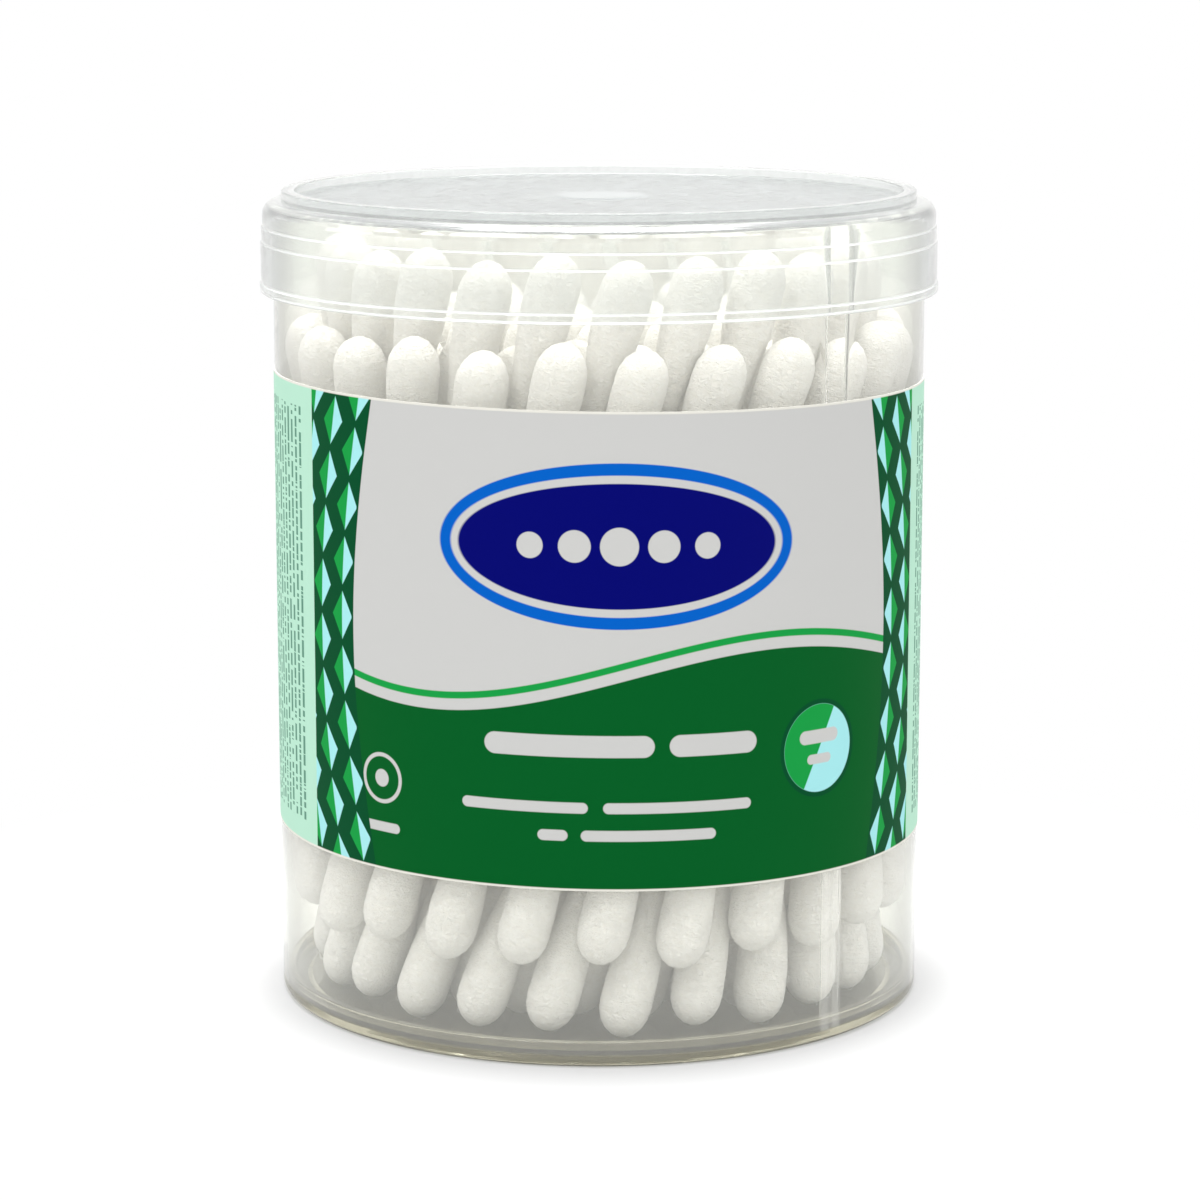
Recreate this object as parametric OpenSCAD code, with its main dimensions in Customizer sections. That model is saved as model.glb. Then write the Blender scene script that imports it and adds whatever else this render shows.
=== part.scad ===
// Clear round tub of double-ended cotton swabs, with a push-on lid.
// Millimetres, Z up, origin at the centre of the foot, front towards -Y.

/* [Tub wall] */
// Outer diameter of the rolled wall
tub_d = 68; // [68:0.5:90]
// Thickness of the rolled sheet
wall_t = 0.45; // [0.3:0.05:0.8]
// Height of the rolled wall from the flange to its rim
wall_h = 81.7; // [79:0.1:110]
// Width of the welded lap seam
seam_w = 2.6; // [1:0.1:8]
// Extra thickness of the pressed seam
seam_t = 0.1; // [0.05:0.05:0.3]
// Angle of the seam, to the right of the front
seam_angle = 44; // [-90:1:90]

/* [Base] */
// Height of the flange under the wall's lower edge
flange_h = 1.2; // [0.9:0.1:3]
// Round of the flange's lower corner
flange_round = 0.8; // [0.2:0.1:0.8]
// Thickness of the floor
floor_t = 1; // [0.6:0.1:2]
// Depth of the hollow under the floor
foot_recess = 0.5; // [0.2:0.1:1.5]
// Width of the foot ring's flat
foot_w = 1.8; // [1:0.1:5]
// Height of the rim inside the wall, above the flange
plug_h = 1.3; // [1.1:0.1:4]
// Thickness of the rim inside the wall
plug_t = 0.8; // [0.5:0.1:1.2]
// Clearance between the rim and the wall
plug_gap = 0.05; // [0.02:0.01:0.15]

/* [Lid] */
// Thickness of the skirt at its lower band
lid_t = 1.1; // [0.9:0.05:1.8]
// Clearance between the skirt and the wall
lid_gap = 0.15; // [0.1:0.05:0.5]
// Depth of the skirt below the wall's rim
skirt_h = 8.5; // [7:0.1:14]
// Height of the bead along the skirt's lower edge
bead_h = 1; // [0.6:0.1:2]
// How far the bead stands proud of the skirt
bead_out = 0.12; // [0.05:0.01:0.3]
// Height of the lower step line above the skirt's edge
step_z = 5.2; // [3:0.1:5.6]
// Height of the band between the two step lines
step_band = 1.6; // [0.6:0.1:1.8]
// How far each step goes in
step_in = 0.1; // [0.05:0.01:0.2]
// Thickness of the shoulder over the wall's rim
shoulder_t = 0.9; // [0.7:0.1:2]
// Round of the shoulder
shoulder_r = 1.5; // [0.5:0.1:1.6]
// Thickness of the round panel
panel_t = 0.9; // [0.7:0.05:1.2]
// Height of the panel's underside above the wall's rim
panel_lift = 0.2; // [0:0.1:0.5]
// Width of the raised ring
ring_w = 1.4; // [1:0.1:3]
// Height of the raised ring above the shoulder
ring_h = 1.05; // [0.9:0.05:2]
// Distance from the raised ring to the skirt's outer face
ring_inset = 2.2; // [2:0.1:5]
// Diameter of the round gate mark
gate_d = 11; // [6:0.5:20]
// Height of the gate mark
gate_h = 0.1; // [0.05:0.05:0.3]

/* [Label] */
// Height of the label's strip
label_h = 47.7; // [30:0.1:55]
// Height of its lower edge above the foot
label_z = 18.2; // [10:0.1:20]
// Thickness of the label
label_t = 0.08; // [0.05:0.01:0.15]
// Slant of the label, lower on the right
label_slant = 0.75; // [0:0.05:1.5]
// Width of the lap at the back
label_lap = 8; // [3:0.5:20]
// Layer of glue between the label and the wall
glue_t = 0.01; // [0.01:0.01:0.05]

/* [Swabs] */
// Length of a swab over its two tips
swab_l = 73; // [70:0.5:74]
// Diameter of the stick
stick_d = 2.4; // [1.8:0.1:2.5]
// Widest diameter of a cotton tip
head_d = 5.3; // [4.6:0.1:5.4]
// Length of a cotton tip
head_l = 16.5; // [13:0.5:18]
// Distance from the end of a tip to its widest place
head_peak = 3.4; // [2.6:0.1:6]
// How long a tip stays full before it thins out on the stick
head_hold = 1.4; // [1:0.1:2]
// Thickness of the cotton where it thins out on the stick
neck_t = 0.12; // [0.08:0.01:0.3]
// Length of stick inside a cotton tip
stick_in = 12.5; // [8:0.5:13]
// Clearance between the stick and the cotton
wrap_gap = 0.02; // [0.01:0.01:0.05]
// Clearance between the lowest tips and the floor
rest_gap = 0.15; // [0.15:0.05:0.5]

/* [Bundle] */
// Clearance between neighbouring tips of a tight layer
head_gap = 0.3; // [0.2:0.05:0.5]
// Clearance between neighbouring tips of the loose inner layers
loose_gap = 1.5; // [1.2:0.1:2]
// Turn of the bundle from its lower to its upper tips
turn = 52.5; // [49.5:0.1:53.5]
// How much higher the raised layer stands
lift = 7.47; // [6.97:0.01:8.47]
// How much the outer layer's swabs vary in height
outer_uneven = 0.8; // [0:0.1:0.8]
// How much the raised layer's swabs vary in height
raised_uneven = 1; // [0:0.1:1.0]
// How much the crossing layer's swabs vary in height
crossing_uneven = 1; // [0:0.1:1.0]
// How much the swabs inside those layers vary in height
inner_uneven = 0.7; // [0:0.1:0.8]
// How far the outer layer's low tips stand in from the wall row
outer_in_low = 2.14; // [2.09:0.01:2.44]
// How far the outer layer's high tips stand in from the wall row
outer_in_high = 7.66; // [7.56:0.01:7.76]
// How far the raised layer's high tips stand in from the wall row
raised_in_high = 3.95; // [3.85:0.01:4.05]
// How far the crossing layer's low tips stand in from the wall row
crossing_in_low = 8.24; // [8.14:0.01:8.34]
// Start of the raised layer, as a share of the space between two swabs
raised_start = 0.23; // [0.22:0.001:0.24]
// Start of the crossing layer, as a share of the space between two swabs
crossing_start = 0.074; // [0.064:0.001:0.084]
// Extra turn of the raised layer, as a share of the space between two swabs
raised_turn = -0.962; // [-0.992:0.001:-0.932]
// Extra turn of the crossing layer, as a share of the space between two swabs
crossing_turn = -0.417; // [-0.447:0.001:-0.387]

/* [Hidden] */
$fn = 72;

// Levels and radii of the tub
tub_r = tub_d / 2;
tub_in_r = tub_r - wall_t;
wall_top = flange_h + wall_h;
floor_z = foot_recess + floor_t;
plug_r = tub_in_r - plug_gap;
soft_edge = 0.2;
step_slope = 0.1;
gate_slope = 0.8;

// Levels and radii of the lid, and the width of its seat on the wall's rim
skirt_in_r = tub_r + lid_gap;
skirt_r = skirt_in_r + lid_t;
band_r = skirt_r - step_in;
upper_r = band_r - step_in;
bead_r = skirt_r + bead_out;
skirt_z = wall_top - skirt_h;
line_1_z = skirt_z + step_z;
line_2_z = line_1_z + step_band;
shoulder_z = wall_top + shoulder_t;
ring_r = skirt_r - ring_inset;
ring_in_r = ring_r - ring_w;
ring_z = shoulder_z + ring_h;
panel_under_z = wall_top + panel_lift;
panel_z = panel_under_z + panel_t;
seat_w = 1;

// A cotton tip, from its end at zero to where it thins out on the stick
head_r = head_d / 2;
neck_r = stick_d / 2 + neck_t;
bore_r = stick_d / 2 + wrap_gap;
bore_z = head_l - stick_in;
tip_steps = 5;
taper_steps = 5;

// The bundle: each layer is
// [count, start angle, turn, low radius, high radius, height of the low tips, unevenness]
function at(r, a) = [r * cos(a), r * sin(a)];

// How many leaning swabs stand side by side in a ring of radius r, measured at their high tips
function round_count(low_r, r, gap) =
    let (lean = asin(norm(at(r, turn) - at(low_r, 0)) / swab_l))
    floor(180 / asin((head_d + gap) / 2 / r / cos(lean)));

wall_row_r = tub_in_r - head_r;
outer_low_r = wall_row_r - outer_in_low;
outer_high_r = wall_row_r - outer_in_high;
peak_share = head_peak / swab_l;
outer_peak_r = norm((1 - peak_share) * at(outer_high_r, turn) + peak_share * at(outer_low_r, 0));
outer_n = round_count(outer_low_r, outer_peak_r, head_gap);
slot = 360 / outer_n;
pitch = head_d + head_gap;
crossing_low_r = wall_row_r - crossing_in_low;
inner_low_r = crossing_low_r - pitch;
inner_high_r = outer_high_r - pitch;
core_low_r = inner_low_r - pitch;
core_high_r = inner_high_r - pitch;
centre_n = 3;
centre_r = (head_d + loose_gap) / 2 / sin(180 / centre_n);
rest_z = floor_z + rest_gap;

outer = [outer_n, 0, turn, outer_low_r, outer_high_r, rest_z, outer_uneven];
raised = [outer_n, raised_start * slot, turn + raised_turn * slot,
    wall_row_r, wall_row_r - raised_in_high, rest_z + lift, raised_uneven];
crossing = [outer_n, crossing_start * slot, turn + crossing_turn * slot,
    crossing_low_r, wall_row_r, rest_z, crossing_uneven];
inner = [round_count(inner_low_r, inner_high_r, loose_gap), 0, turn,
    inner_low_r, inner_high_r, rest_z, inner_uneven];
core = [round_count(core_low_r, core_high_r, loose_gap), 0, turn,
    core_low_r, core_high_r, rest_z, inner_uneven];
centre = [centre_n, 0, turn, centre_r, centre_r, rest_z, inner_uneven];

// Step of the wave that lifts a layer's swabs unevenly, from one swab to the next
wave_step = 150;

// Round corner of a profile, from angle a to angle b about the point c
function corner(c, r, a, b, n = 6) = [for (i = [0 : n]) c + at(r, a + (b - a) * i / n)];

module tub_wall() {
    seam_half = seam_w / tub_r * 90 / PI;
    seam_z = plug_h + seam_t;
    color([0.93, 0.95, 0.95, 0.35])
        translate([0, 0, flange_h])
            union() {
                rotate_extrude()
                    translate([tub_in_r, 0])
                        square([wall_t, wall_h]);
                rotate([0, 0, seam_angle - 90 - seam_half])
                    rotate_extrude(angle = 2 * seam_half)
                        translate([tub_in_r - seam_t, seam_z])
                            square([seam_t + wall_t / 2, wall_h - seam_z]);
            }
}

module tub_base() {
    foot_r = tub_r - flange_round;
    color([0.88, 0.89, 0.85, 0.6])
        rotate_extrude()
            polygon(concat(
                [[0, foot_recess], [foot_r - foot_w - foot_recess, foot_recess], [foot_r - foot_w, 0]],
                corner([foot_r, flange_round], flange_round, -90, 0),
                [[tub_r, flange_h], [plug_r, flange_h]],
                corner([plug_r - soft_edge, flange_h + plug_h - soft_edge], soft_edge, 0, 90),
                [[plug_r - plug_t, flange_h + plug_h], [plug_r - plug_t - soft_edge, floor_z],
                 [0, floor_z]]));
}

module label() {
    outer_r = tub_r + glue_t + label_t;
    lap_angle = label_lap / tub_r * 180 / PI;
    reach = 2 * tub_r;
    spare = reach * sin(label_slant) + label_t;
    color([0.02, 0.42, 0.2])
        intersection() {
            union() {
                rotate_extrude()
                    translate([tub_r + glue_t, label_z - spare])
                        square([label_t, label_h + 2 * spare]);
                rotate([0, 0, 90 - lap_angle / 2])
                    rotate_extrude(angle = lap_angle)
                        translate([outer_r - label_t / 2, label_z - spare])
                            square([label_t + label_t / 2, label_h + 2 * spare]);
            }
            translate([0, 0, label_z])
                rotate([0, label_slant, 0])
                    translate([-reach, -reach, 0])
                        cube([2 * reach, 2 * reach, label_h]);
        }
}

module lid() {
    shoulder_c = [upper_r - shoulder_r, shoulder_z - shoulder_r];
    color([0.93, 0.95, 0.96, 0.4])
        rotate_extrude()
            polygon(concat(
                [[skirt_in_r + soft_edge, skirt_z]],
                corner([bead_r - soft_edge, skirt_z + soft_edge], soft_edge, -90, 0),
                [[bead_r, skirt_z + bead_h - bead_out], [skirt_r, skirt_z + bead_h],
                 [skirt_r, line_1_z - step_slope], [band_r, line_1_z],
                 [band_r, line_2_z - step_slope], [upper_r, line_2_z]],
                corner(shoulder_c, shoulder_r, 0, 90),
                [[ring_r, shoulder_z]],
                corner([ring_r - soft_edge, ring_z - soft_edge], soft_edge, 0, 90),
                corner([ring_in_r + soft_edge, ring_z - soft_edge], soft_edge, 90, 180),
                [[ring_in_r, panel_z], [gate_d / 2, panel_z], [gate_d / 2 - gate_slope, panel_z + gate_h],
                 [0, panel_z + gate_h], [0, panel_under_z], [tub_in_r - seat_w - panel_lift, panel_under_z],
                 [tub_in_r - seat_w, wall_top], [skirt_in_r, wall_top], [skirt_in_r, skirt_z + soft_edge]]));
}

// Outline of a cotton tip: a half ellipse at its end, then a smooth taper
function tip_point(i) =
    let (a = 90 * i / tip_steps)
    [head_r * sin(a), head_peak * (1 - cos(a))];

function taper_point(i) =
    let (u = i / taper_steps)
    [neck_r + (head_r - neck_r) * (1 + cos(180 * pow(u, head_hold))) / 2,
     head_peak + (head_l - head_peak) * u];

module cotton_tip() {
    rotate_extrude()
        polygon(concat(
            [for (i = [0 : tip_steps]) tip_point(i)],
            [for (i = [1 : taper_steps]) taper_point(i)],
            [[bore_r, head_l], [bore_r, bore_z], [0, bore_z]]));
}

// Puts its children along swab i of a layer, with the low end of the swab at zero
module along_swab(layer, i) {
    a = layer[1] + slot_of(layer) * i - 90;
    low = at(layer[3], a - layer[2] / 2);
    high = at(layer[4], a + layer[2] / 2);
    run = high - low;
    translate([low.x, low.y, layer[5] + rise(layer, i)])
        rotate([0, asin(norm(run) / swab_l), atan2(run.y, run.x)])
            children();
}

function slot_of(layer) = 360 / layer[0];

// The swabs of a layer stand higher and lower in turn
function rise(layer, i) = layer[6] * (1 + sin(wave_step * i)) / 2;

module sticks(layer) {
    color([0.97, 0.95, 0.9])
        for (i = [0 : layer[0] - 1])
            along_swab(layer, i)
                translate([0, 0, bore_z])
                    cylinder(d = stick_d, h = swab_l - 2 * bore_z);
}

module tips(layer) {
    color([0.99, 0.99, 0.97])
        for (i = [0 : layer[0] - 1])
            along_swab(layer, i) {
                cotton_tip();
                translate([0, 0, swab_l])
                    mirror([0, 0, 1])
                        cotton_tip();
            }
}

module sticks_outer() { sticks(outer); }
module tips_outer() { tips(outer); }
module sticks_raised() { sticks(raised); }
module tips_raised() { tips(raised); }
module sticks_crossing() { sticks(crossing); }
module tips_crossing() { tips(crossing); }
module sticks_inner() { sticks(inner); }
module tips_inner() { tips(inner); }
module sticks_core() { sticks(core); }
module tips_core() { tips(core); }
module sticks_centre() { sticks(centre); }
module tips_centre() { tips(centre); }

tub_wall();
tub_base();
label();
lid();
sticks_outer();
tips_outer();
sticks_raised();
tips_raised();
sticks_crossing();
tips_crossing();
sticks_inner();
tips_inner();
sticks_core();
tips_core();
sticks_centre();
tips_centre();
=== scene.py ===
import bpy
import bmesh
import math
import numpy as np
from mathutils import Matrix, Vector


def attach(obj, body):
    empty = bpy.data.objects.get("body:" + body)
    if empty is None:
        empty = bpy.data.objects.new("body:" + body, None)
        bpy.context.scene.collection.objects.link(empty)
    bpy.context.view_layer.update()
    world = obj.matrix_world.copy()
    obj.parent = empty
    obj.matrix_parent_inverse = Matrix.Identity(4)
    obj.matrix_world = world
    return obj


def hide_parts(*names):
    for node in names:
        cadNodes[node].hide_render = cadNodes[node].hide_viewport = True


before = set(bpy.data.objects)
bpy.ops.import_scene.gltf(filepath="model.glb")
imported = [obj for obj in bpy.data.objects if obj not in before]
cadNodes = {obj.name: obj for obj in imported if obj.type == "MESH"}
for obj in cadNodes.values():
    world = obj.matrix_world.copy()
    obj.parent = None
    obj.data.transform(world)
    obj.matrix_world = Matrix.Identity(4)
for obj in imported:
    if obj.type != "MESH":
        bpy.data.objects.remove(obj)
bpy.context.view_layer.update()
scene = bpy.context.scene
mm = 0.001
print("frame loaded,", len(cadNodes), "nodes")


# helpers for node trees

def srgb(red, green, blue):
    # 0 to 255 as picked on screen, to the linear colour that shaders take
    def linear(value):
        value /= 255
        return value / 12.92 if value <= 0.04045 else ((value + 0.055) / 1.055) ** 2.4
    return (linear(red), linear(green), linear(blue), 1)


def addNode(tree, kind, inputs=None, **settings):
    # a socket among the inputs is linked, anything else is set as a value
    node = tree.nodes.new(kind)
    for name, value in settings.items():
        setattr(node, name, value)
    for name, value in (inputs or {}).items():
        socket = node.inputs[name]
        if isinstance(value, bpy.types.NodeSocket):
            tree.links.new(value, socket)
        else:
            socket.default_value = value
    return node


def calc(tree, operation, first, second=0.0, third=0.0, clamp=False):
    inputs = {0: first, 1: second, 2: third}
    return addNode(tree, "ShaderNodeMath", inputs, operation=operation, use_clamp=clamp).outputs[0]


def plus(tree, first, second):
    return calc(tree, "ADD", first, second)


def minus(tree, first, second):
    return calc(tree, "SUBTRACT", first, second)


def times(tree, first, second):
    return calc(tree, "MULTIPLY", first, second)


def vectorCalc(tree, operation, first, second=None):
    inputs = {0: first}
    if second is not None:
        inputs[3 if operation == "SCALE" else 1] = second
    node = addNode(tree, "ShaderNodeVectorMath", inputs, operation=operation)
    return node.outputs[1 if operation in ("LENGTH", "DISTANCE", "DOT_PRODUCT") else 0]


def combine(tree, x, y, z=0.0):
    return addNode(tree, "ShaderNodeCombineXYZ", {0: x, 1: y, 2: z}).outputs[0]


def separate(tree, vector):
    return addNode(tree, "ShaderNodeSeparateXYZ", {0: vector}).outputs


def noise(tree, vector, scale, detail, distortion=0.0):
    inputs = {"Vector": vector, "Scale": scale, "Detail": detail, "Distortion": distortion}
    return addNode(tree, "ShaderNodeTexNoise", inputs).outputs[0]


def mixColour(tree, share, first, second):
    return addNode(tree, "ShaderNodeMix", {0: share, 6: first, 7: second}, data_type="RGBA").outputs[2]


def between(tree, share, first, second):
    return calc(tree, "MULTIPLY_ADD", share, second - first, first)


def peak(tree, value, centre, half):
    # a soft bump of height one about the centre
    gap = calc(tree, "DIVIDE", minus(tree, value, centre), half)
    return calc(tree, "SUBTRACT", 1.0, times(tree, gap, gap), clamp=True)


def ramp(tree, value, low, high, start, end, kind="LINEAR"):
    # goes from start to end while the value goes from low to high
    inputs = {"Value": value, "From Min": low, "From Max": high, "To Min": start, "To Max": end}
    return addNode(tree, "ShaderNodeMapRange", inputs, interpolation_type=kind).outputs[0]


def rise(tree, value, low, high):
    return ramp(tree, value, low, high, 0.0, 1.0, "SMOOTHSTEP")


def objectPlace(tree):
    return addNode(tree, "ShaderNodeTexCoord").outputs["Object"]


def fromAxis(tree, place):
    # distance from the tub's upright axis and height over the ground, both in mm
    x, y, z = separate(tree, place)
    return times(tree, vectorCalc(tree, "LENGTH", combine(tree, x, y)), 1 / mm), times(tree, z, 1 / mm)


def newMaterial(name):
    material = bpy.data.materials.new(name)
    material.use_nodes = True
    material.node_tree.nodes.clear()
    output = material.node_tree.nodes.new("ShaderNodeOutputMaterial")
    return material, material.node_tree, output


def giveMaterial(piece, material):
    piece.data.materials.clear()
    piece.data.materials.append(material)


# clear plastics: a piece's own function gives what differs over its surface, all lengths in mm

def clearPlastic(name, look, parts):
    material, tree, output = newMaterial(name)
    place = objectPlace(tree)
    surface = {"tint": look["tint"], "roughness": look["roughness"], **parts(tree, look, place)}
    ripple = noise(tree, place, look["waveScale"], detail=3, distortion=0.6)
    if "waves" in surface:
        ripple = times(tree, ripple, surface["waves"])
    bump = addNode(tree, "ShaderNodeBump", {
        "Strength": 1.0, "Distance": look["wave"] * mm, "Height": ripple})
    # seen at a slant there is more plastic in the way and the colour turns to the slant colour: partly the
    # tint of that longer path, partly painted shade for the darker surroundings seen at the edges
    facing = addNode(tree, "ShaderNodeLayerWeight", {"Blend": 0.5}).outputs["Facing"]
    edge = rise(tree, facing, look["rimFrom"], look["rimTo"])
    if "rimShare" in surface:
        edge = times(tree, edge, surface["rimShare"])
    skin = addNode(tree, "ShaderNodeBsdfPrincipled", {
        "Base Color": mixColour(tree, edge, surface["tint"], look["rim"]), "IOR": look["ior"],
        "Roughness": surface["roughness"], "Transmission Weight": minus(tree, 1.0, surface["milk"]),
        "Normal": bump.outputs[0]})
    # shadows and bounced light pass straight through
    passing = addNode(tree, "ShaderNodeBsdfTransparent", {0: look["passing"]})
    ray = addNode(tree, "ShaderNodeLightPath").outputs
    letThrough = calc(tree, "MAXIMUM", ray["Is Shadow Ray"], ray["Is Diffuse Ray"])
    mix = addNode(tree, "ShaderNodeMixShader", {0: letThrough, 1: skin.outputs[0], 2: passing.outputs[0]})
    tree.links.new(mix.outputs[0], output.inputs[0])
    return material


wallLook = {
    "tint": srgb(250, 250, 245), "rim": srgb(194, 194, 187), "rimFrom": 0.55, "rimTo": 0.85, "milk": 0.10,
    "roughness": 0.02, "wave": 0.003, "waveScale": 90, "ior": 1.40, "passing": srgb(253, 253, 253),
    # the seam's place is in degrees round from the front, towards the right
    "seamAngle": 44, "seamHalf": 1.3, "seamBelow": 20.0, "seamMilk": 0.22, "seamSharp": 8,
    "seamLine": 0.12, "lineSharp": 12, "seamEdge": 0.12, "seamEdgeMilk": 0.25,
}


def wallParts(tree, look, place):
    # below the label the welded seam is milky with a clear line along its middle
    # its two edges show all the way up
    angle = math.radians(look["seamAngle"])
    across = vectorCalc(tree, "DOT_PRODUCT", place, (math.cos(angle) / mm, math.sin(angle) / mm, 0))
    ahead = vectorCalc(tree, "DOT_PRODUCT", place, (math.sin(angle), -math.cos(angle), 0))
    away = calc(tree, "ABSOLUTE", across)
    band = calc(tree, "MULTIPLY", minus(tree, look["seamHalf"], away), look["seamSharp"], clamp=True)
    line = calc(tree, "MULTIPLY", minus(tree, away, look["seamLine"]), look["lineSharp"], clamp=True)
    low = calc(tree, "LESS_THAN", separate(tree, place)[2], look["seamBelow"] * mm)
    front = calc(tree, "GREATER_THAN", ahead, 0)
    mask = times(tree, times(tree, band, line), times(tree, low, front))
    edges = times(tree, peak(tree, away, look["seamHalf"], look["seamEdge"]), front)
    milk = between(tree, mask, look["milk"], look["seamMilk"])
    return {"milk": calc(tree, "MAXIMUM", milk, times(tree, edges, look["seamEdgeMilk"]))}


baseLook = {
    "tint": srgb(228, 224, 202), "rim": srgb(196, 192, 170), "rimFrom": 0.5, "rimTo": 0.9, "milk": 0.04,
    "roughness": 0.08, "wave": 0.006, "waveScale": 200, "ior": 1.45, "passing": srgb(205, 205, 198),
    "flangeRadii": (32.6, 33.2), "flangeLevels": (1.35, 1.15), "flangeMilk": 0.24,
}


def baseParts(tree, look, place):
    # the flange under the wall is thick, so it is milkier than the floor
    radius, level = fromAxis(tree, place)
    outer, low = rise(tree, radius, *look["flangeRadii"]), rise(tree, level, *look["flangeLevels"])
    return {"milk": between(tree, times(tree, outer, low), look["milk"], look["flangeMilk"])}


lidLook = {
    "tint": srgb(246, 248, 247), "rim": srgb(204, 206, 204), "rimFrom": 0.55, "rimTo": 0.85, "milk": 0.075,
    "roughness": 0.08, "wave": 0.006, "waveScale": 260, "ior": 1.36, "passing": srgb(253, 253, 253),
    "topLevels": (82.4, 83.0), "ringMilk": 0.08, "ringSlantShade": 0.35,
    "panelRadii": (31.7, 31.5), "panelTint": srgb(178, 183, 183), "panelRoughness": 0.2,
    "panelWaves": 6.0, "panelMilk": (0.0, 0.26), "frostScale": 700, "frostRange": (0.4, 0.6),
    "gateRadii": (6.4, 3.6), "gateMilk": 0.34,
    "highlightLevels": (74.55, 75.35, 79.55, 81.15), "lineHalf": 0.15, "highlightMilk": 0.5,
}


def lidParts(tree, look, place):
    # the panel is frosted and greyer than the skirt, and its gate mark is white
    # the steps and the bead get painted highlights, milky white lines at their levels
    radius, level = fromAxis(tree, place)
    above = rise(tree, level, *look["topLevels"])
    panel = times(tree, above, rise(tree, radius, *look["panelRadii"]))
    gate = times(tree, rise(tree, radius, *look["gateRadii"]), above)
    frost = noise(tree, place, look["frostScale"], detail=3, distortion=1.5)
    frost = rise(tree, frost, *look["frostRange"])
    milk = between(tree, above, look["milk"], look["ringMilk"])
    hazy = minus(tree, between(tree, frost, *look["panelMilk"]), look["ringMilk"])
    milk = calc(tree, "MULTIPLY_ADD", panel, hazy, milk)
    milk = calc(tree, "MAXIMUM", milk, times(tree, gate, look["gateMilk"]))
    # painted highlight lines at the steps and the bead
    for centre in look["highlightLevels"]:
        line = times(tree, peak(tree, level, centre, look["lineHalf"]), look["highlightMilk"])
        milk = calc(tree, "MAXIMUM", milk, line)
    return {
        "milk": milk, "tint": mixColour(tree, panel, look["tint"], look["panelTint"]),
        "roughness": between(tree, panel, look["roughness"], look["panelRoughness"]),
        "waves": between(tree, panel, 1.0, look["panelWaves"]),
        "rimShare": between(tree, above, 1.0, look["ringSlantShade"]),
    }


giveMaterial(cadNodes["tub_wall"], clearPlastic("clearWall", wallLook, wallParts))
giveMaterial(cadNodes["tub_base"], clearPlastic("clearBase", baseLook, baseParts))
giveMaterial(cadNodes["lid"], clearPlastic("clearLid", lidLook, lidParts))
print("clear plastics done")


# label print, drawn in mm round the tub: across from the front, up from the label's lower edge

labelPrint = {
    "radius": 34.09, "foot": 18.2, "slant": 0.75, "height": 47.7, "soft": 0.05,  # half of an edge's blur
    "paper": srgb(195, 195, 194), "green": srgb(0, 88, 34), "mint": srgb(178, 220, 199),
    "navy": srgb(0, 3, 106), "blue": srgb(0, 92, 190), "leaf": srgb(22, 150, 66),
    "ice": srgb(160, 222, 226), "deep": srgb(0, 74, 40), "ink": srgb(20, 96, 76), "inkShare": 0.75,
    "waveLevel": 20.5, "waveHeight": 3.2, "waveTurn": 0.085, "stripeUp": 1.5, "stripeHalf": 0.35,
    # each shape starts with its middle, across and up
    "ovals": [
        (2, 34.5, 18.2, 8.2, "blue"), (2, 34.5, 17.0, 7.0, "paper"), (2, 34.5, 16.2, 6.2, "navy")],
    "dots": [
        (-6.8, 34.5, 1.3), (-2.4, 34.5, 1.6), (2, 34.5, 1.9), (6.4, 34.5, 1.6), (10.8, 34.5, 1.3)],
    "bars": [
        (-3, 14.6, 8.5, 1.1), (11.6, 14.6, 4.6, 1.1), (-7.5, 8.4, 6.4, 0.55), (8, 8.4, 7.6, 0.55),
        (-4.6, 5.6, 1.5, 0.55), (5, 5.6, 6.8, 0.55), (-23.6, 4.4, 2.3, 0.5)],
    "ring": (-23.6, 9.4, 2.4, 0.4), "ringDot": (-23.6, 9.4, 0.9),
    "badgeRim": (24, 13, 5.0), "badge": (24, 13, 4.5), "badgeLean": 0.5, "badgeFoot": 17.5,
    "badgeBars": [(24, 14.2, 2.6, 0.7), (24, 11.9, 1.6, 0.5)],
    "frontMiddle": 3.5, "frontHalf": 28.0, "bulge": 3.0,
    "lozengeStart": 0.3, "lozengeWide": 3.6, "lozengeHigh": 5.6, "lozengeHalf": 0.44,
    "mintStart": 38.0, "linePitch": 1.15, "lineHalf": 0.22, "lineJump": 7.31,
    "dashScale": 1.9, "dashFrom": 0.45, "columnStart": 1.2, "columnTurn": 7.5, "columnGap": 0.9,
    "marginHalf": 21.5,
    "cutEdge": 0.22, "cut": srgb(222, 220, 212), "back": srgb(250, 250, 247), "backRadius": 34.03,
    "grain": 2600, "grainStrength": 0.25, "grainDepth": 0.02, "roughness": 0.55, "specular": 0.04,
}


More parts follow.
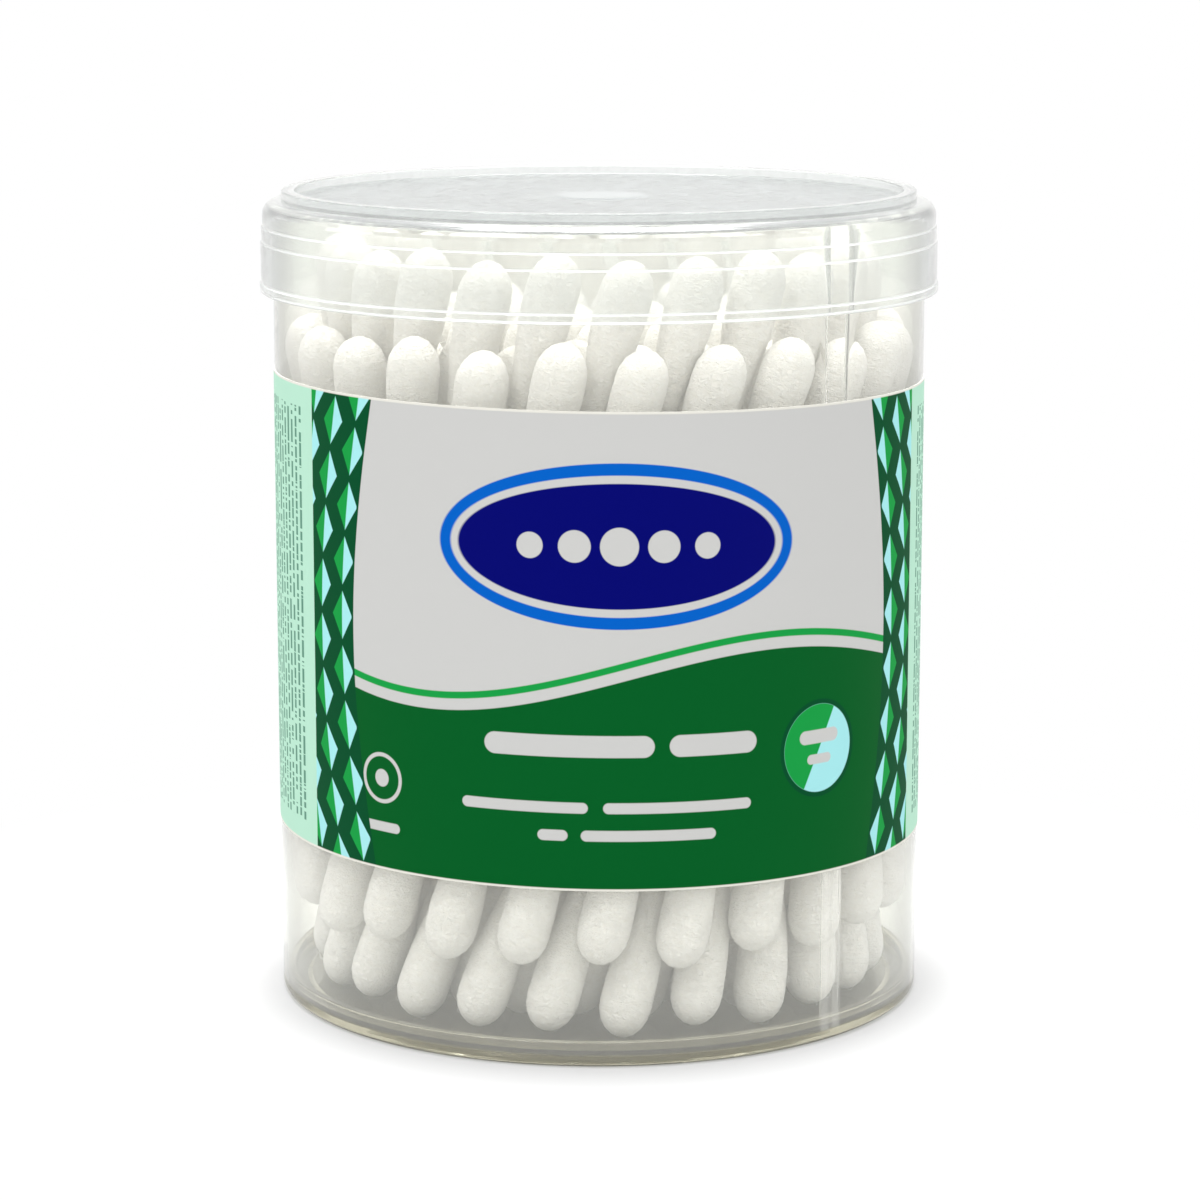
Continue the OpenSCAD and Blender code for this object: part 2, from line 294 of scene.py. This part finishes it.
def labelMaterial(look):
    material, tree, output = newMaterial("labelPrint")
    place = objectPlace(tree)
    x, y, z = separate(tree, place)
    across = times(tree, calc(tree, "ARCTAN2", x, times(tree, y, -1)), look["radius"])
    drop = times(tree, x, math.tan(math.radians(look["slant"])) / mm)
    up = plus(tree, minus(tree, times(tree, z, 1 / mm), look["foot"]), drop)
    fromMiddle = calc(tree, "ABSOLUTE", minus(tree, up, look["height"] / 2))
    spot = combine(tree, across, up)
    colour = look["paper"]

    def inside(distance):
        return calc(tree, "MULTIPLY_ADD", distance, -0.5 / look["soft"], 0.5, clamp=True)

    def beyond(distance):
        return inside(times(tree, distance, -1))

    def join(masks):
        total = masks[0]
        for mask in masks[1:]:
            total = calc(tree, "MAXIMUM", total, mask)
        return total

    def paint(mask, tone):
        nonlocal colour
        colour = mixColour(tree, mask, colour, tone)

    def discGap(x, y, radius):
        return minus(tree, vectorCalc(tree, "DISTANCE", spot, (x, y, 0)), radius)

    def disc(x, y, radius):
        return inside(discGap(x, y, radius))

    def ring(x, y, radius, width):
        return inside(minus(tree, calc(tree, "ABSOLUTE", discGap(x, y, radius)), width / 2))

    def oval(x, y, halfWide, halfHigh):
        away = vectorCalc(tree, "SUBTRACT", spot, (x, y, 0))
        away = vectorCalc(tree, "MULTIPLY", away, (1 / halfWide, 1 / halfHigh, 0))
        return inside(times(tree, minus(tree, vectorCalc(tree, "LENGTH", away), 1), halfHigh))

    def bar(x, y, halfWide, halfHigh):
        away = vectorCalc(tree, "ABSOLUTE", vectorCalc(tree, "SUBTRACT", spot, (x, y, 0)))
        away = vectorCalc(tree, "SUBTRACT", away, (halfWide - halfHigh, 0, 0))
        away = vectorCalc(tree, "MAXIMUM", away, (0, 0, 0))
        return inside(minus(tree, vectorCalc(tree, "LENGTH", away), halfHigh))

    # green front field under a white one, parted by a slow wave with a stripe over it
    swing = calc(tree, "SINE", times(tree, across, look["waveTurn"]))
    waveLine = calc(tree, "MULTIPLY_ADD", swing, look["waveHeight"], look["waveLevel"])
    paint(inside(minus(tree, up, waveLine)), look["green"])
    stripe = calc(tree, "ABSOLUTE", minus(tree, up, plus(tree, waveLine, look["stripeUp"])))
    paint(inside(minus(tree, stripe, look["stripeHalf"])), look["leaf"])

    # navy oval in a blue ring, with a row of white dots
    for *size, tone in look["ovals"]:
        paint(oval(*size), look[tone])
    paint(join([disc(*size) for size in look["dots"]]), look["paper"])

    # rows of plain bars, and a ring with a dot
    paint(join([bar(*size) for size in look["bars"]]), look["paper"])
    paint(join([ring(*look["ring"]), disc(*look["ringDot"])]), look["paper"])

    # two-tone disc at the lower right
    paint(disc(*look["badgeRim"]), look["deep"])
    paint(disc(*look["badge"]), look["ice"])
    lean = minus(tree, across, calc(tree, "MULTIPLY_ADD", up, look["badgeLean"], look["badgeFoot"]))
    paint(times(tree, disc(*look["badge"]), inside(lean)), look["leaf"])
    paint(join([bar(*size) for size in look["badgeBars"]]), look["paper"])

    # a border of two-tone lozenges on each side, narrowest at mid height
    side = calc(tree, "ABSOLUTE", minus(tree, across, look["frontMiddle"]))
    bulge = calc(tree, "SINE", times(tree, up, math.pi / look["height"]))
    inBorder = minus(tree, side, calc(tree, "MULTIPLY_ADD", bulge, look["bulge"], look["frontHalf"]))
    paint(beyond(inBorder), look["deep"])
    column = calc(tree, "DIVIDE", inBorder, look["lozengeWide"])
    stagger = times(tree, calc(tree, "FLOOR", column), 0.5)
    row = plus(tree, calc(tree, "DIVIDE", up, look["lozengeHigh"]), stagger)
    inColumn = minus(tree, calc(tree, "FRACT", column), 0.5)
    inRow = minus(tree, calc(tree, "FRACT", row), 0.5)
    rhomb = plus(tree, calc(tree, "ABSOLUTE", inColumn), calc(tree, "ABSOLUTE", inRow))
    lozenge = inside(times(tree, minus(tree, rhomb, look["lozengeHalf"]), look["lozengeWide"]))
    half = inside(times(tree, inColumn, look["lozengeWide"]))
    started = beyond(minus(tree, inBorder, look["lozengeStart"]))
    paint(times(tree, started, lozenge), mixColour(tree, half, look["leaf"], look["ice"]))

    # then mint with columns of fine dashes
    inMint = minus(tree, side, look["mintStart"])
    paint(beyond(inMint), look["mint"])
    lines = calc(tree, "DIVIDE", inMint, look["linePitch"])
    inLine = calc(tree, "ABSOLUTE", minus(tree, calc(tree, "FRACT", lines), 0.5))
    inLine = inside(times(tree, minus(tree, inLine, look["lineHalf"]), look["linePitch"]))
    jump = times(tree, calc(tree, "FLOOR", lines), look["lineJump"])
    along = combine(tree, jump, times(tree, up, look["dashScale"]))
    broken = noise(tree, along, 1.0, detail=1)
    dashes = calc(tree, "GREATER_THAN", broken, look["dashFrom"])
    inColumns = minus(tree, inMint, look["columnStart"])
    columns = calc(tree, "PINGPONG", inColumns, look["columnTurn"])
    columns = calc(tree, "GREATER_THAN", columns, look["columnGap"])
    margin = inside(minus(tree, fromMiddle, look["marginHalf"]))
    field = times(tree, times(tree, columns, margin), beyond(inColumns))
    fineLines = times(tree, times(tree, inLine, dashes), field)
    paint(times(tree, fineLines, look["inkShare"]), look["ink"])

    # bare paper along the two cut edges and on the back, towards the wall
    paint(inside(minus(tree, look["height"] / 2 - look["cutEdge"], fromMiddle)), look["cut"])
    paint(calc(tree, "LESS_THAN", fromAxis(tree, place)[0], look["backRadius"]), look["back"])

    grain = noise(tree, place, look["grain"], detail=2)
    bump = addNode(tree, "ShaderNodeBump", {
        "Strength": look["grainStrength"], "Distance": look["grainDepth"] * mm, "Height": grain})
    skin = addNode(tree, "ShaderNodeBsdfPrincipled", {
        "Base Color": colour, "Roughness": look["roughness"], "Specular IOR Level": look["specular"],
        "Normal": bump.outputs[0]})
    tree.links.new(skin.outputs[0], output.inputs[0])
    return material


giveMaterial(cadNodes["label"], labelMaterial(labelPrint))
print("label done")


# sticks: rolled white paper with faint flecks

stickLook = {
    "paper": srgb(244, 240, 230), "fleck": srgb(226, 219, 204), "fleckShare": 0.25, "grain": 900,
    "grainStrength": 0.3, "grainDepth": 0.02, "roughness": 0.7,
}


def stickMaterial(look):
    material, tree, output = newMaterial("rolledPaper")
    flecks = noise(tree, objectPlace(tree), look["grain"], detail=3)
    colour = mixColour(tree, times(tree, flecks, look["fleckShare"]), look["paper"], look["fleck"])
    bump = addNode(tree, "ShaderNodeBump", {
        "Strength": look["grainStrength"], "Distance": look["grainDepth"] * mm, "Height": flecks})
    skin = addNode(tree, "ShaderNodeBsdfPrincipled", {
        "Base Color": colour, "Roughness": look["roughness"], "Normal": bump.outputs[0]})
    tree.links.new(skin.outputs[0], output.inputs[0])
    return material


layers = ["outer", "raised", "crossing", "inner", "core", "centre"]
paper = stickMaterial(stickLook)
for layer in layers:
    giveMaterial(cadNodes["sticks_" + layer], paper)
print("sticks done")


# wound cotton: strands along the wind, soft tufts, and stray fibres that lie over both

cottonLook = {
    "cotton": srgb(248, 247, 243), "shade": srgb(239, 236, 228), "across": 0.9, "along": 3.2,
    "tuftScale": 900, "tuftShare": 0.8, "fibreScales": (800, 1300), "fibreHalf": 0.05,
    "fibreShare": 0.2, "depth": 0.22, "strength": 0.9, "hollow": (-2.0, 2.3), "specular": 0.05,
    "sheen": 0.5, "sheenRoughness": 0.35,
}


def cottonMaterial(look):
    material, tree, output = newMaterial("woundCotton")
    wind = addNode(tree, "ShaderNodeAttribute", attribute_name="wind", attribute_type="GEOMETRY")
    number = addNode(tree, "ShaderNodeAttribute", attribute_name="tipNumber", attribute_type="GEOMETRY")
    number = number.outputs["Fac"]
    stretch = (look["across"], look["across"], look["along"])
    path = vectorCalc(tree, "MULTIPLY", wind.outputs["Vector"], stretch)
    path = vectorCalc(tree, "ADD", path, combine(tree, number, number, number))
    place = objectPlace(tree)
    strands = noise(tree, path, 1.0, detail=3, distortion=1.6)
    tufts = noise(tree, place, look["tuftScale"], detail=4, distortion=2.0)
    fibres = calc(tree, "MULTIPLY_ADD", tufts, look["tuftShare"], strands)
    for scale in look["fibreScales"]:
        course = noise(tree, place, scale, detail=1, distortion=2.5)
        near = peak(tree, course, 0.5, look["fibreHalf"])
        fibres = calc(tree, "MULTIPLY_ADD", near, look["fibreShare"], fibres)
    bump = addNode(tree, "ShaderNodeBump", {
        "Strength": look["strength"], "Distance": look["depth"] * mm, "Height": fibres})
    # painted shade: the hollows of the fibre bump are mixed towards the darker shade colour
    hollow = calc(tree, "MULTIPLY_ADD", fibres, *look["hollow"], clamp=True)
    skin = addNode(tree, "ShaderNodeBsdfPrincipled", {
        "Base Color": mixColour(tree, hollow, look["cotton"], look["shade"]), "Roughness": 1.0,
        "Specular IOR Level": look["specular"], "Normal": bump.outputs[0],
        "Sheen Weight": look["sheen"], "Sheen Roughness": look["sheenRoughness"]})
    tree.links.new(skin.outputs[0], output.inputs[0])
    return material


# cotton tips: one wound shape set on every end of every stick by Geometry Nodes
# the layers that show have stray fibres as well

tipShape = {
    "Widest Radius": 2.65 * mm, "Cap": 3.4 * mm, "Length": 16.5 * mm, "Neck Radius": 1.32 * mm,
    "Hold": 1.4, "Lumps": 0.22 * mm, "Lump Scale": 260.0,
    "Sides": 18, "Cap Rings": 5, "Taper Rings": 6, "Seed": 7,
}
fuzzShape = {
    "Density": 1.5e5, "Length": 0.6 * mm, "Thickness": 0.017 * mm, "Rise": 0.25 * mm,
    "Bend": 0.3, "Shortest": 0.5, "Longest": 1.5, "Seed": 3,
}
tipFit = {"pastStick": 4.0 * mm, "weldWithin": 0.02 * mm, "fuzzyLayers": ("outer", "raised", "crossing")}


def stickEnds(node):
    # the two ends of each stick of a CAD node, from its loose parts
    work = bmesh.new()
    work.from_mesh(node.data)
    bmesh.ops.remove_doubles(work, verts=work.verts, dist=1e-6)
    seen, ends = set(), []
    for start in work.verts:
        if start in seen:
            continue
        seen.add(start)
        part, queue = [], [start]
        while queue:
            vert = queue.pop()
            part.append(vert.co[:])
            for edge in vert.link_edges:
                other = edge.other_vert(vert)
                if other not in seen:
                    seen.add(other)
                    queue.append(other)
        points = np.array(part)
        middle = (points.max(0) + points.min(0)) / 2
        axis = np.linalg.svd(points - points.mean(0), full_matrices=False)[2][0]
        axis *= 1 if axis[2] > 0 else -1
        reach = ((points - middle) @ axis).max()
        ends.append((Vector(middle - axis * reach), Vector(middle + axis * reach), Vector(axis)))
    work.free()
    return ends


def newGroup(name, shape):
    # a Geometry Nodes tree with an input for each size in the dictionary, and one for the material
    tree = bpy.data.node_groups.new(name, "GeometryNodeTree")
    tree.interface.new_socket("Geometry", in_out="INPUT", socket_type="NodeSocketGeometry")
    tree.interface.new_socket("Geometry", in_out="OUTPUT", socket_type="NodeSocketGeometry")
    for label, value in shape.items():
        kind = "NodeSocketInt" if isinstance(value, int) else "NodeSocketFloat"
        tree.interface.new_socket(label, in_out="INPUT", socket_type=kind).default_value = value
    tree.interface.new_socket("Cotton", in_out="INPUT", socket_type="NodeSocketMaterial")
    return tree, tree.nodes.new("NodeGroupInput").outputs, tree.nodes.new("NodeGroupOutput")


def randomNumber(tree, low, high, seed):
    node = addNode(tree, "FunctionNodeRandomValue", {2: low, 3: high, "Seed": seed}, data_type="FLOAT")
    return node.outputs[1]


def turnAtRandom(tree, rotation, seed):
    spin = combine(tree, 0.0, 0.0, randomNumber(tree, 0.0, 2 * math.pi, seed))
    inputs = {0: rotation, 1: spin}
    return addNode(tree, "FunctionNodeRotateRotation", inputs, rotation_space="LOCAL").outputs[0]


def finishTree(tree, geometry, material, result):
    done = addNode(tree, "GeometryNodeSetMaterial", {"Geometry": geometry, "Material": material})
    tree.links.new(done.outputs[0], result.inputs[0])


def tipTree():
    tree, given, result = newGroup("woundTips", tipShape)

    # a flat grid, bent round: x is the turn, and y goes from the end of the tip to its neck
    # the last ring shuts it
    rings = plus(tree, plus(tree, given["Cap Rings"], given["Taper Rings"]), 1)
    grid = addNode(tree, "GeometryNodeMeshGrid", {
        "Size X": 1.0, "Size Y": 1.0, "Vertices X": plus(tree, given["Sides"], 1),
        "Vertices Y": plus(tree, rings, 1)})
    flat = separate(tree, addNode(tree, "GeometryNodeInputPosition").outputs[0])
    angle = times(tree, plus(tree, flat[0], 0.5), 2 * math.pi)
    ringNumber = times(tree, plus(tree, flat[1], 0.5), rings)
    capShare = calc(tree, "DIVIDE", ringNumber, given["Cap Rings"], clamp=True)
    pastCap = minus(tree, ringNumber, given["Cap Rings"])
    taperShare = calc(tree, "DIVIDE", pastCap, given["Taper Rings"], clamp=True)
    shut = calc(tree, "LESS_THAN", ringNumber, minus(tree, rings, 0.5))
    capAngle = times(tree, capShare, math.pi / 2)
    capRadius = times(tree, calc(tree, "SINE", capAngle), given["Widest Radius"])
    capHeight = times(tree, minus(tree, 1, calc(tree, "COSINE", capAngle)), given["Cap"])
    held = times(tree, calc(tree, "POWER", taperShare, given["Hold"]), math.pi)
    fall = calc(tree, "MULTIPLY_ADD", calc(tree, "COSINE", held), -0.5, 0.5)
    thinning = times(tree, minus(tree, given["Widest Radius"], given["Neck Radius"]), fall)
    radius = times(tree, minus(tree, capRadius, thinning), shut)
    taperLength = minus(tree, given["Length"], given["Cap"])
    height = calc(tree, "MULTIPLY_ADD", taperShare, taperLength, capHeight)
    cosine, sine = calc(tree, "COSINE", angle), calc(tree, "SINE", angle)
    bent = combine(tree, times(tree, radius, cosine), times(tree, radius, sine), height)
    # the tip's own place in mm is kept for the cotton's strands
    marked = addNode(tree, "GeometryNodeStoreNamedAttribute", {
        "Geometry": grid.outputs[0], "Name": "wind", "Value": vectorCalc(tree, "SCALE", bent, 1 / mm)},
        data_type="FLOAT_VECTOR", domain="POINT")
    shaped = addNode(tree, "GeometryNodeSetPosition", {"Geometry": marked.outputs[0], "Position": bent})
    merged = addNode(tree, "GeometryNodeMergeByDistance", {
        "Geometry": shaped.outputs[0], "Distance": tipFit["weldWithin"]})

    # one on each end of a stick, aimed along it and turned at random
    # each has a number of its own, so that no two tips have the same strands
    inward = addNode(tree, "GeometryNodeInputNamedAttribute", {"Name": "inward"}, data_type="FLOAT_VECTOR")
    aim = addNode(tree, "FunctionNodeAlignRotationToVector", {"Vector": inward.outputs[0]}, axis="Z")
    ownNumber = randomNumber(tree, 0.0, 50.0, plus(tree, given["Seed"], 1))
    tips = addNode(tree, "GeometryNodeInstanceOnPoints", {
        "Points": given["Geometry"], "Instance": merged.outputs[0],
        "Rotation": turnAtRandom(tree, aim.outputs[0], given["Seed"])})
    numbered = addNode(tree, "GeometryNodeStoreNamedAttribute", {
        "Geometry": tips.outputs[0], "Name": "tipNumber", "Value": ownNumber},
        data_type="FLOAT", domain="INSTANCE")
    real = addNode(tree, "GeometryNodeRealizeInstances", {0: numbered.outputs[0]})

    # soft lumps, a little different on every tip
    where = addNode(tree, "GeometryNodeInputPosition").outputs[0]
    swell = noise(tree, where, given["Lump Scale"], detail=1)
    out = times(tree, minus(tree, swell, 0.5), given["Lumps"])
    normal = addNode(tree, "GeometryNodeInputNormal").outputs[0]
    lumpy = addNode(tree, "GeometryNodeSetPosition", {
        "Geometry": real.outputs[0], "Offset": vectorCalc(tree, "SCALE", normal, out)})
    smooth = addNode(tree, "GeometryNodeSetShadeSmooth", {
        "Geometry": lumpy.outputs[0], "Shade Smooth": True})
    finishTree(tree, smooth.outputs[0], given["Cotton"], result)
    return tree


def fuzzTree():
    # short curved hairs with three sides, which lie along the surface
    tree, given, result = newGroup("cottonFuzz", fuzzShape)
    spread = addNode(tree, "GeometryNodeDistributePointsOnFaces", {
        "Mesh": given["Geometry"], "Density": given["Density"], "Seed": given["Seed"]},
        distribute_method="RANDOM")
    # the curve rises to half the height of its middle point
    length, aside = given["Length"], times(tree, given["Length"], given["Bend"])
    middle = combine(tree, times(tree, length, 0.5), aside, times(tree, given["Rise"], 2))
    hair = addNode(tree, "GeometryNodeCurveQuadraticBezier", {
        "Resolution": 4, "Start": (0, 0, 0), "Middle": middle, "End": combine(tree, length, 0.0)})
    outline = addNode(tree, "GeometryNodeCurvePrimitiveCircle", {
        "Resolution": 3, "Radius": given["Thickness"]})
    solid = addNode(tree, "GeometryNodeCurveToMesh", {
        "Curve": hair.outputs[0], "Profile Curve": outline.outputs[0], "Fill Caps": True})
    size = randomNumber(tree, given["Shortest"], given["Longest"], plus(tree, given["Seed"], 1))
    hairs = addNode(tree, "GeometryNodeInstanceOnPoints", {
        "Points": spread.outputs[0], "Instance": solid.outputs[0],
        "Rotation": turnAtRandom(tree, spread.outputs["Rotation"], given["Seed"]),
        "Scale": combine(tree, size, size, size)})
    real = addNode(tree, "GeometryNodeRealizeInstances", {0: hairs.outputs[0]})
    finishTree(tree, real.outputs[0], given["Cotton"], result)
    return tree


def runTree(name, mesh, tree, values):
    # sets the modifier's inputs by their identifiers, and returns a plain mesh piece
    carrier = bpy.data.objects.new(name + "Base", mesh)
    scene.collection.objects.link(carrier)
    modifier = carrier.modifiers.new("shape", "NODES")
    modifier.node_group = tree
    for item in tree.interface.items_tree:
        if item.item_type == "SOCKET" and item.in_out == "INPUT" and item.name in values:
            modifier[item.identifier] = values[item.name]
    bpy.context.view_layer.update()
    evaluated = carrier.evaluated_get(bpy.context.evaluated_depsgraph_get())
    made = bpy.data.meshes.new_from_object(evaluated)
    carrier.modifiers.remove(modifier)
    bpy.data.objects.remove(carrier)
    made.name = name
    piece = bpy.data.objects.new(name, made)
    scene.collection.objects.link(piece)
    return piece


cotton = cottonMaterial(cottonLook)
tips, fuzz = tipTree(), fuzzTree()
swabCount = 0
for layer in layers:
    starts, inwards = [], []
    for low, high, axis in stickEnds(cadNodes["sticks_" + layer]):
        starts += [low - axis * tipFit["pastStick"], high + axis * tipFit["pastStick"]]
        inwards += [axis, -axis]
    swabCount += len(starts) // 2
    points = bpy.data.meshes.new(layer + "Points")
    points.from_pydata([start[:] for start in starts], [], [])
    field = points.attributes.new("inward", "FLOAT_VECTOR", "POINT")
    field.data.foreach_set("vector", [number for inward in inwards for number in inward])
    piece = runTree("cotton_" + layer, points, tips, {**tipShape, "Cotton": cotton})
    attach(piece, "tub")
    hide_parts("tips_" + layer)
    if layer in tipFit["fuzzyLayers"]:
        down = runTree("fuzz_" + layer, piece.data.copy(), fuzz, {**fuzzShape, "Cotton": cotton})
        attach(down, "tub")
        print(layer, "fuzz faces", len(down.data.polygons))
    print(layer, "tips", len(starts), "faces", len(piece.data.polygons))
print("cotton done,", swabCount, "swabs")


# stage: a floor that is white where seen and keeps the contact shadow, deepened with painted shadow, and a
# plain white sky

stage = {
    # the glow ramp near the tub is a painted contact shadow, and the cut under the tub is painted shade
    "floor": srgb(190, 190, 188), "size": 6.0, "diffuse": 0.44, "glow": (0.27, 0.48),
    "paintedShadowRadii": (0.035, 0.043), "under": (0.0322, 0.0335), "inside": 0.2, "shadowReach": (0.05, 0.10),
    "sky": (1.0, 1.0, 1.0, 1), "skyStrength": 0.86, "white": (1.0, 1.0, 1.0, 1),
}


def whiteWhereSeen(tree):
    # one for what the camera, a reflection or a clear sheet sees, nought for what lights the tub
    ray = addNode(tree, "ShaderNodeLightPath").outputs
    seen = calc(tree, "MAXIMUM", ray["Is Camera Ray"], ray["Is Glossy Ray"])
    return calc(tree, "MAXIMUM", seen, ray["Is Transmission Ray"])


def floorMaterial(look):
    material, tree, output = newMaterial("paleFloor")
    plain = addNode(tree, "ShaderNodeBsdfDiffuse", {0: look["floor"]})
    radius = vectorCalc(tree, "LENGTH", objectPlace(tree))
    # the floor that is seen takes real shade and glows; its glow is painted lower near the tub as a
    # painted contact shadow, and its glow and shade are cut most under the tub as painted shade. Far out
    # it turns plain white
    # painted shade under the tub and a painted contact shadow around it
    paintedShadeFactor = ramp(tree, radius, *look["under"], look["inside"], 1.0)
    glow = times(tree, ramp(tree, radius, *look["paintedShadowRadii"], *look["glow"]), paintedShadeFactor)
    share = times(tree, paintedShadeFactor, look["diffuse"])
    shine = addNode(tree, "ShaderNodeEmission", {0: look["white"], 1: glow})
    dim = addNode(tree, "ShaderNodeBsdfDiffuse", {0: combine(tree, share, share, share)})
    near = addNode(tree, "ShaderNodeAddShader", {0: dim.outputs[0], 1: shine.outputs[0]})
    far = addNode(tree, "ShaderNodeEmission", {0: look["white"], 1: 1.0})
    away = rise(tree, radius, *look["shadowReach"])
    shown = addNode(tree, "ShaderNodeMixShader", {0: away, 1: near.outputs[0], 2: far.outputs[0]})
    mix = addNode(tree, "ShaderNodeMixShader", {
        0: whiteWhereSeen(tree), 1: plain.outputs[0], 2: shown.outputs[0]})
    tree.links.new(mix.outputs[0], output.inputs[0])
    return material


half = stage["size"] / 2
floorMesh = bpy.data.meshes.new("floor")
corners = [(-half, -half, 0), (half, -half, 0), (half, half, 0), (-half, half, 0)]
floorMesh.from_pydata(corners, [], [(0, 1, 2, 3)])
floor = bpy.data.objects.new("floor", floorMesh)
scene.collection.objects.link(floor)
giveMaterial(floor, floorMaterial(stage))

world = bpy.data.worlds.new("studio")
scene.world = world
world.use_nodes = True
sky = world.node_tree
sky.nodes.clear()
skyOut = sky.nodes.new("ShaderNodeOutputWorld")
soft = addNode(sky, "ShaderNodeBackground", {0: stage["sky"], 1: stage["skyStrength"]})
white = addNode(sky, "ShaderNodeBackground", {0: stage["white"], 1: 1.0})
shownSky = addNode(sky, "ShaderNodeMixShader", {
    0: whiteWhereSeen(sky), 1: soft.outputs[0], 2: white.outputs[0]})
sky.links.new(shownSky.outputs[0], skyOut.inputs[0])


# soft square lamps aimed at the tub, in metres and watts

lamps = {
    "key": {"place": (-0.40, -0.45, 0.75), "size": 0.5, "power": 3.0},
    "fill": {"place": (0.6, -0.4, 0.35), "size": 0.6, "power": 1.0},
    "top": {"place": (0.0, 0.15, 0.80), "size": 0.5, "power": 8.6},
}
lampTarget = Vector((0, 0, 0.04))
for name, lamp in lamps.items():
    light = bpy.data.lights.new(name, "AREA")
    light.size = lamp["size"]
    light.energy = lamp["power"]
    holder = bpy.data.objects.new(name, light)
    holder.location = lamp["place"]
    holder.rotation_mode = "QUATERNION"
    holder.rotation_quaternion = (lampTarget - Vector(lamp["place"])).to_track_quat("-Z", "Y")
    scene.collection.objects.link(holder)


# camera as fitted to the photo, looking down by so many degrees

shot = {
    "away": 403.01 * mm, "height": 116.25 * mm, "side": 0.1 * mm, "down": 10.562,
    "sensor": 36, "lens": 3857.5 * 36 / 1200, "clip": (0.01, 50),
}
camera = bpy.data.cameras.new("camera")
camera.sensor_width = shot["sensor"]
camera.lens = shot["lens"]
camera.clip_start, camera.clip_end = shot["clip"]
cameraHolder = bpy.data.objects.new("camera", camera)
cameraHolder.location = (shot["side"], -shot["away"], shot["height"])
cameraHolder.rotation_euler = (math.radians(90 - shot["down"]), 0, 0)
scene.collection.objects.link(cameraHolder)
scene.camera = cameraHolder
scene.view_settings.view_transform = "Standard"
# light goes on bouncing between white tips and through clear sheets
scene.cycles.diffuse_bounces = 10
scene.cycles.transparent_max_bounces = 24
print("stage done")

bpy.context.view_layer.update()
